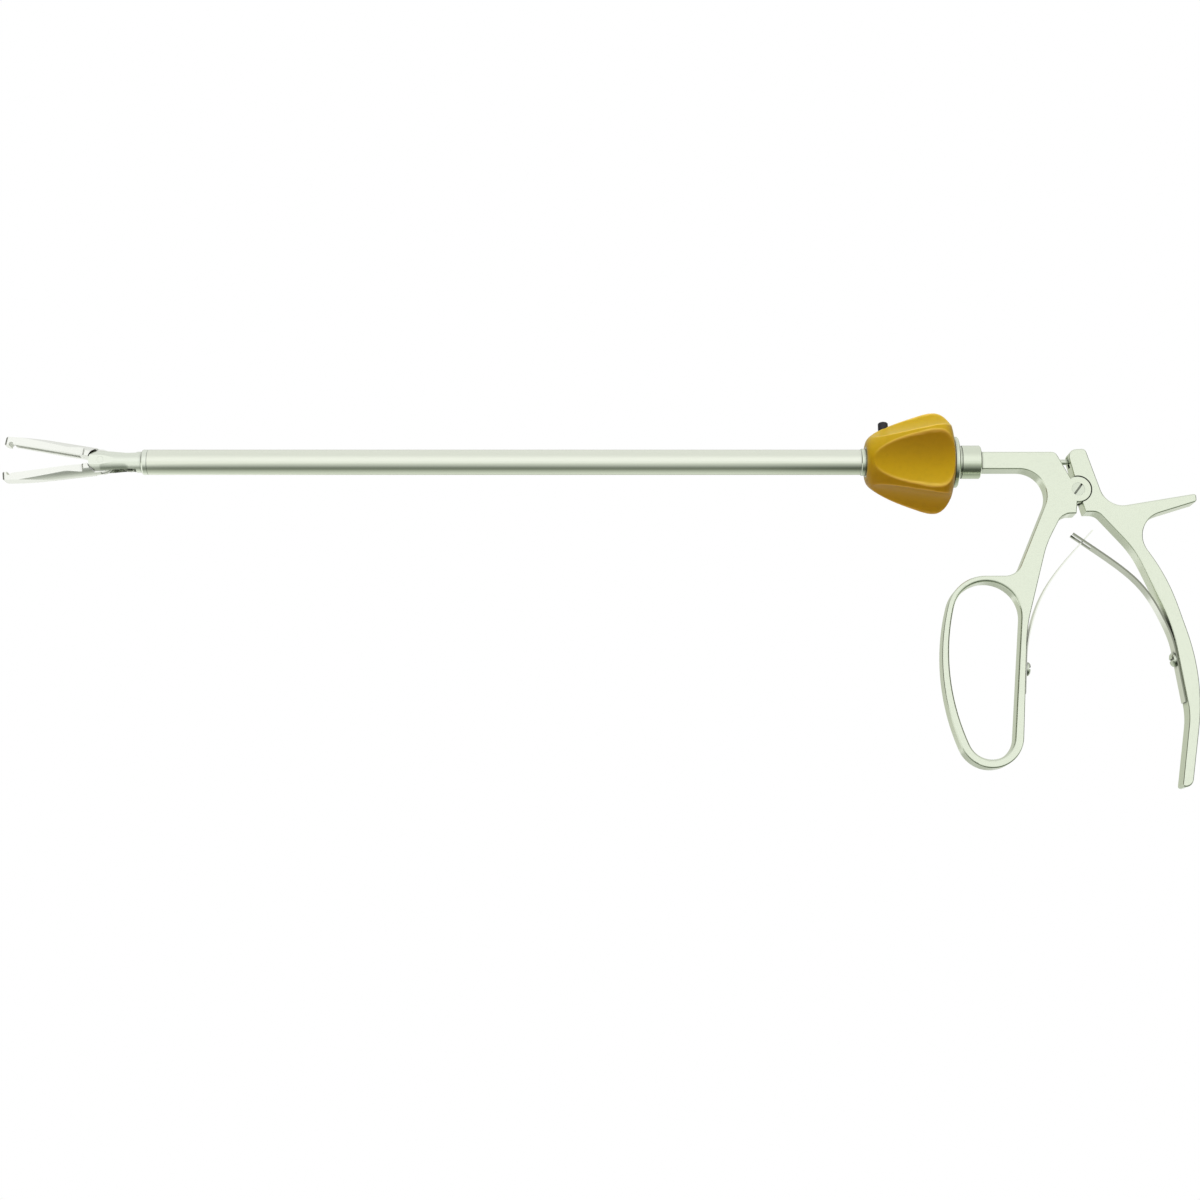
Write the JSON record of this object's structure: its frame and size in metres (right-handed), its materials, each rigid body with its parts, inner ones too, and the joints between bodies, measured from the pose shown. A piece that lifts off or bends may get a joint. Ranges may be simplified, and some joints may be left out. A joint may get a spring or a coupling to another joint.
{
  "type": "clip applier",
  "caption": "Long-shaft surgical clip applier: a trigger handle pulls a rod that shuts the clip-holding jaws, and a fluted knob turns the shaft.",
  "frame": {"origin": "on the shaft axis, where the bare shaft meets the front collar of the rotation knob", "axes": "the shaft runs along -X to the jaws, the handles hang down -Z, +Y is across the tool"},
  "size_m": [0.4702, 0.04, 0.15],
  "materials": {
    "handle_steel": "satin",
    "tube_steel": "fine ground",
    "jaw_steel": "satin",
    "screw_steel": "turned",
    "spring_steel": "polished",
    "knob_plastic": "semi-matte",
    "cap_rubber": "matte",
    "seal_rubber": "matte"
  },
  "bodies": {
    "handle": {"fixed_handle": "handle_steel", "coupling_sleeve": "handle_steel", "retaining_ring": "spring_steel", "pivot_screw": "screw_steel", "front_leaf_spring": "spring_steel", "front_spring_screw": "screw_steel"},
    "lever": {"moving_handle": "handle_steel", "rear_leaf_spring": "spring_steel", "rear_spring_screw": "screw_steel"},
    "barrel": {"outer_tube": "tube_steel", "front_collar": "tube_steel", "rotation_knob": "knob_plastic", "barrel_spindle": "tube_steel", "rear_flange": "handle_steel", "flush_port": "tube_steel", "jaw_yoke": "jaw_steel", "jaw_pin": "jaw_steel", "rod_seals": "seal_rubber", "gland_nut": "tube_steel"},
    "cap": {"port_cap": "cap_rubber"},
    "rod": {"drive_rod": "tube_steel", "cam_pin": "jaw_steel", "ball_stud": "tube_steel", "lock_nut": "screw_steel"},
    "upper_jaw": {"upper_jaw": "jaw_steel"},
    "lower_jaw": {"lower_jaw": "jaw_steel"}
  },
  "joints": [
    {"name": "lever", "type": "hinge", "parent": "handle", "child": "lever", "pos_m": [0.0848, 0, -0.0119], "axis": [0, 1, 0], "range_deg": [0, 20], "stiffness_Nm_per_rad": 3, "springref_deg": -5.73, "deforming": ["front_leaf_spring", "rear_leaf_spring"]},
    {"name": "barrel_turn", "type": "hinge", "parent": "handle", "child": "barrel", "pos_m": [0, 0, 0], "axis": [1, 0, 0], "continuous": true},
    {"name": "rod_slide", "type": "slide", "parent": "barrel", "child": "rod", "axis": [1, 0, 0], "range_m": [0, 0.00434]},
    {"name": "upper_jaw", "type": "hinge", "parent": "barrel", "child": "upper_jaw", "pos_m": [-0.3002, 0, 0], "axis": [0, -1, 0], "range_deg": [0, 9.4]},
    {"name": "lower_jaw", "type": "hinge", "parent": "barrel", "child": "lower_jaw", "pos_m": [-0.3002, 0, 0], "axis": [0, 1, 0], "range_deg": [0, 6.8]},
    {"name": "port_cap", "type": "slide", "parent": "barrel", "child": "cap", "axis": [0, 0.1495, 0.9888], "range_m": [0, 0.008]}
  ],
  "couplings": [
    {"joint": "rod_slide", "follows": "lever", "m_per_rad": 0.012408},
    {"joint": "upper_jaw", "follows": "lever", "ratio": 0.47},
    {"joint": "lower_jaw", "follows": "lever", "ratio": 0.34}
  ]
}
